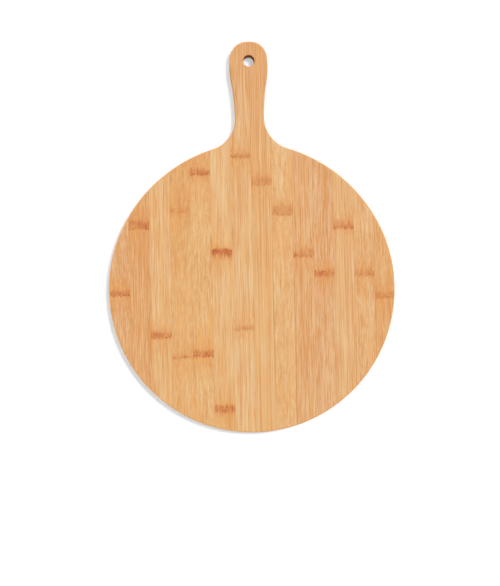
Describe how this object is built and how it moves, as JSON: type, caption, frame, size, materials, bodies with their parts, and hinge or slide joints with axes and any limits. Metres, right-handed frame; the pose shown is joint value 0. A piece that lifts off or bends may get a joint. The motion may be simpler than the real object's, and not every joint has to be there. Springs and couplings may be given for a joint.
{
  "type": "pizza serving board",
  "caption": "Round bamboo serving board with a paddle handle and hanging hole, for carrying, cutting and serving a pizza.",
  "frame": {"origin": "centre of the round plate, on the underside", "axes": "+Y runs up the handle to its tip, +Z is the normal of the serving side, and +X is to the right with the handle up"},
  "size_m": [0.28, 0.382, 0.012],
  "materials": {
    "light_bamboo": "pale natural bamboo, sanded and oiled",
    "honey_bamboo": "honey-coloured carbonised bamboo, sanded and oiled",
    "dark_bamboo": "darker carbonised bamboo, sanded and oiled"
  },
  "bodies": {
    "root": {"face_strip_01": "honey_bamboo", "face_strip_02": "dark_bamboo", "face_strip_03": "light_bamboo", "face_strip_04": "honey_bamboo", "face_strip_05": "honey_bamboo", "face_strip_06": "light_bamboo", "face_strip_07": "light_bamboo", "face_strip_08": "honey_bamboo", "face_strip_09": "light_bamboo", "face_strip_10": "honey_bamboo", "face_strip_11": "dark_bamboo", "face_strip_12": "light_bamboo", "face_strip_13": "honey_bamboo", "face_strip_14": "honey_bamboo", "core_strip_01": "light_bamboo", "core_strip_02": "light_bamboo", "core_strip_03": "honey_bamboo", "core_strip_04": "light_bamboo", "core_strip_05": "honey_bamboo", "core_strip_06": "dark_bamboo", "core_strip_07": "light_bamboo", "core_strip_08": "honey_bamboo", "core_strip_09": "honey_bamboo", "core_strip_10": "honey_bamboo", "core_strip_11": "dark_bamboo", "core_strip_12": "light_bamboo", "core_strip_13": "honey_bamboo", "core_strip_14": "honey_bamboo", "core_strip_15": "light_bamboo", "core_strip_16": "light_bamboo", "core_strip_17": "honey_bamboo", "core_strip_18": "light_bamboo", "core_strip_19": "honey_bamboo", "core_strip_20": "dark_bamboo", "back_strip_01": "honey_bamboo", "back_strip_02": "dark_bamboo", "back_strip_03": "light_bamboo", "back_strip_04": "honey_bamboo", "back_strip_05": "honey_bamboo", "back_strip_06": "honey_bamboo", "back_strip_07": "dark_bamboo", "back_strip_08": "light_bamboo", "back_strip_09": "honey_bamboo", "back_strip_10": "honey_bamboo", "back_strip_11": "light_bamboo", "back_strip_12": "light_bamboo", "back_strip_13": "honey_bamboo", "back_strip_14": "light_bamboo"}
  },
  "joints": []
}
